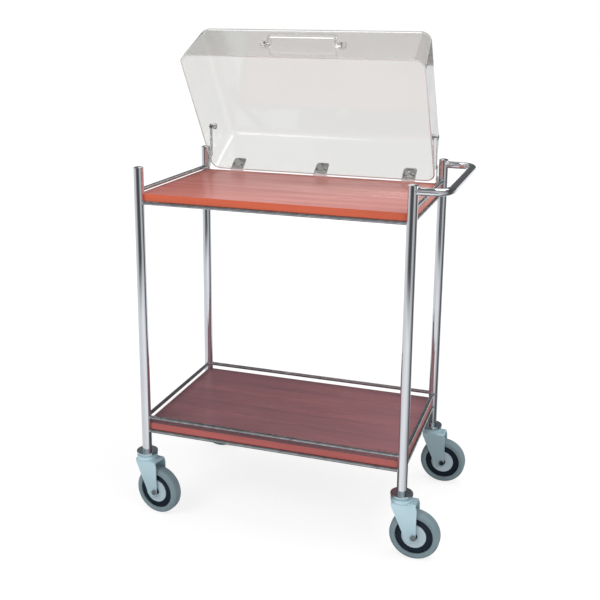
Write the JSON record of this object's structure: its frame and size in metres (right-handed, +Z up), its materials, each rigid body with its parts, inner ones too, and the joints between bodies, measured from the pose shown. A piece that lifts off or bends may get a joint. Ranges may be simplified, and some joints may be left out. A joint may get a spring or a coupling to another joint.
{
  "type": "carving trolley",
  "caption": "Two-tier serving cart of chromed tube with red wood boards, a hinged clear hood on folding stays, a push handle and swivel casters.",
  "frame": {"origin": "on the floor, midway between the four posts", "axes": "+Z up, +X towards the push handle, -Y towards the side that the hood opens to"},
  "size_m": [0.8165, 0.557, 1.2608],
  "materials": {
    "chrome_tube": "polished chrome",
    "red_wood_laminate": "glossy red laminate with straight grain",
    "clear_acrylic": "clear, polished",
    "plated_steel": "bright zinc plate",
    "grey_rubber": "smooth grey rubber",
    "dark_plastic": "moulded, near black",
    "pale_plastic": "moulded, pale grey"
  },
  "bodies": {
    "frame": {"post_front_left": "chrome_tube", "post_front_right": "chrome_tube", "post_back_left": "chrome_tube", "post_back_right": "chrome_tube", "post_end_caps": "chrome_tube", "top_shelf_board": "red_wood_laminate", "lower_shelf_board": "red_wood_laminate", "top_support_rods": "chrome_tube", "lower_support_rods": "chrome_tube", "top_side_rails": "chrome_tube", "lower_guard_rails": "chrome_tube", "push_handle": "chrome_tube", "hinge_fixed_leaf_left": "plated_steel", "hinge_fixed_leaf_middle": "plated_steel", "hinge_fixed_leaf_right": "plated_steel", "hinge_pins": "plated_steel", "hinge_board_screws": "plated_steel", "stay_bracket_left": "plated_steel", "stay_bracket_right": "plated_steel", "caster_stem_front_left": "plated_steel", "caster_stem_front_right": "plated_steel", "caster_stem_back_left": "plated_steel", "caster_stem_back_right": "plated_steel"},
    "hood": {"hood_cover": "clear_acrylic", "hinge_moving_leaf_left": "plated_steel", "hinge_moving_leaf_middle": "plated_steel", "hinge_moving_leaf_right": "plated_steel", "hinge_hood_screws": "plated_steel", "hood_lift_handle": "clear_acrylic", "hood_handle_screws": "plated_steel", "stay_stud_left": "plated_steel", "stay_stud_right": "plated_steel"},
    "stay_lower_left": {"stay_lower_link_left": "plated_steel"},
    "stay_upper_left": {"stay_upper_link_left": "plated_steel"},
    "stay_lower_right": {"stay_lower_link_right": "plated_steel"},
    "stay_upper_right": {"stay_upper_link_right": "plated_steel"},
    "caster_swivel_front_left": {"caster_fork_front_left": "plated_steel", "caster_axle_front_left": "plated_steel"},
    "caster_wheel_front_left": {"caster_tyre_front_left": "grey_rubber", "caster_rim_front_left": "dark_plastic", "caster_thread_guards_front_left": "pale_plastic"},
    "caster_swivel_front_right": {"caster_fork_front_right": "plated_steel", "caster_axle_front_right": "plated_steel"},
    "caster_wheel_front_right": {"caster_tyre_front_right": "grey_rubber", "caster_rim_front_right": "dark_plastic", "caster_thread_guards_front_right": "pale_plastic"},
    "caster_swivel_back_left": {"caster_fork_back_left": "plated_steel", "caster_axle_back_left": "plated_steel"},
    "caster_wheel_back_left": {"caster_tyre_back_left": "grey_rubber", "caster_rim_back_left": "dark_plastic", "caster_thread_guards_back_left": "pale_plastic"},
    "caster_swivel_back_right": {"caster_fork_back_right": "plated_steel", "caster_axle_back_right": "plated_steel"},
    "caster_wheel_back_right": {"caster_tyre_back_right": "grey_rubber", "caster_rim_back_right": "dark_plastic", "caster_thread_guards_back_right": "pale_plastic"}
  },
  "joints": [
    {"name": "hood_hinge", "type": "hinge", "parent": "frame", "child": "hood", "pos_m": [0, 0.2085, 0.863], "axis": [1, 0, 0], "range_deg": [0, 57]},
    {"name": "stay_foot_left", "type": "hinge", "parent": "frame", "child": "stay_lower_left", "pos_m": [0, 0.1935, 0.877], "axis": [1, 0, 0], "range_deg": [0, 45.48]},
    {"name": "stay_elbow_left", "type": "hinge", "parent": "stay_lower_left", "child": "stay_upper_left", "pos_m": [0, 0.19975, 0.90736], "axis": [1, 0, 0], "range_deg": [0, 30.12]},
    {"name": "stay_foot_right", "type": "hinge", "parent": "frame", "child": "stay_lower_right", "pos_m": [0, 0.1935, 0.877], "axis": [1, 0, 0], "range_deg": [0, 45.48]},
    {"name": "stay_elbow_right", "type": "hinge", "parent": "stay_lower_right", "child": "stay_upper_right", "pos_m": [0, 0.19975, 0.90736], "axis": [1, 0, 0], "range_deg": [0, 30.12]},
    {"name": "swivel_front_left", "type": "hinge", "parent": "frame", "child": "caster_swivel_front_left", "pos_m": [-0.345, -0.205, 0.167], "axis": [0, 0, 1], "continuous": true},
    {"name": "wheel_spin_front_left", "type": "hinge", "parent": "caster_swivel_front_left", "child": "caster_wheel_front_left", "pos_m": [-0.30949, -0.21094, 0.0625], "axis": [0.165, 0.9863, 0], "continuous": true},
    {"name": "swivel_front_right", "type": "hinge", "parent": "frame", "child": "caster_swivel_front_right", "pos_m": [0.345, -0.205, 0.167], "axis": [0, 0, 1], "continuous": true},
    {"name": "wheel_spin_front_right", "type": "hinge", "parent": "caster_swivel_front_right", "child": "caster_wheel_front_right", "pos_m": [0.381, -0.205, 0.0625], "axis": [0, 1, 0], "continuous": true},
    {"name": "swivel_back_left", "type": "hinge", "parent": "frame", "child": "caster_swivel_back_left", "pos_m": [-0.345, 0.205, 0.167], "axis": [0, 0, 1], "continuous": true},
    {"name": "wheel_spin_back_left", "type": "hinge", "parent": "caster_swivel_back_left", "child": "caster_wheel_back_left", "pos_m": [-0.309, 0.205, 0.0625], "axis": [0, 1, 0], "continuous": true},
    {"name": "swivel_back_right", "type": "hinge", "parent": "frame", "child": "caster_swivel_back_right", "pos_m": [0.345, 0.205, 0.167], "axis": [0, 0, 1], "continuous": true},
    {"name": "wheel_spin_back_right", "type": "hinge", "parent": "caster_swivel_back_right", "child": "caster_wheel_back_right", "pos_m": [0.381, 0.205, 0.0625], "axis": [0, 1, 0], "continuous": true}
  ],
  "couplings": [
    {"joint": "stay_foot_left", "follows": "hood_hinge", "ratio": 0.79265},
    {"joint": "stay_elbow_left", "follows": "hood_hinge", "ratio": 0.52311},
    {"joint": "stay_foot_right", "follows": "hood_hinge", "ratio": 0.79265},
    {"joint": "stay_elbow_right", "follows": "hood_hinge", "ratio": 0.52311}
  ]
}
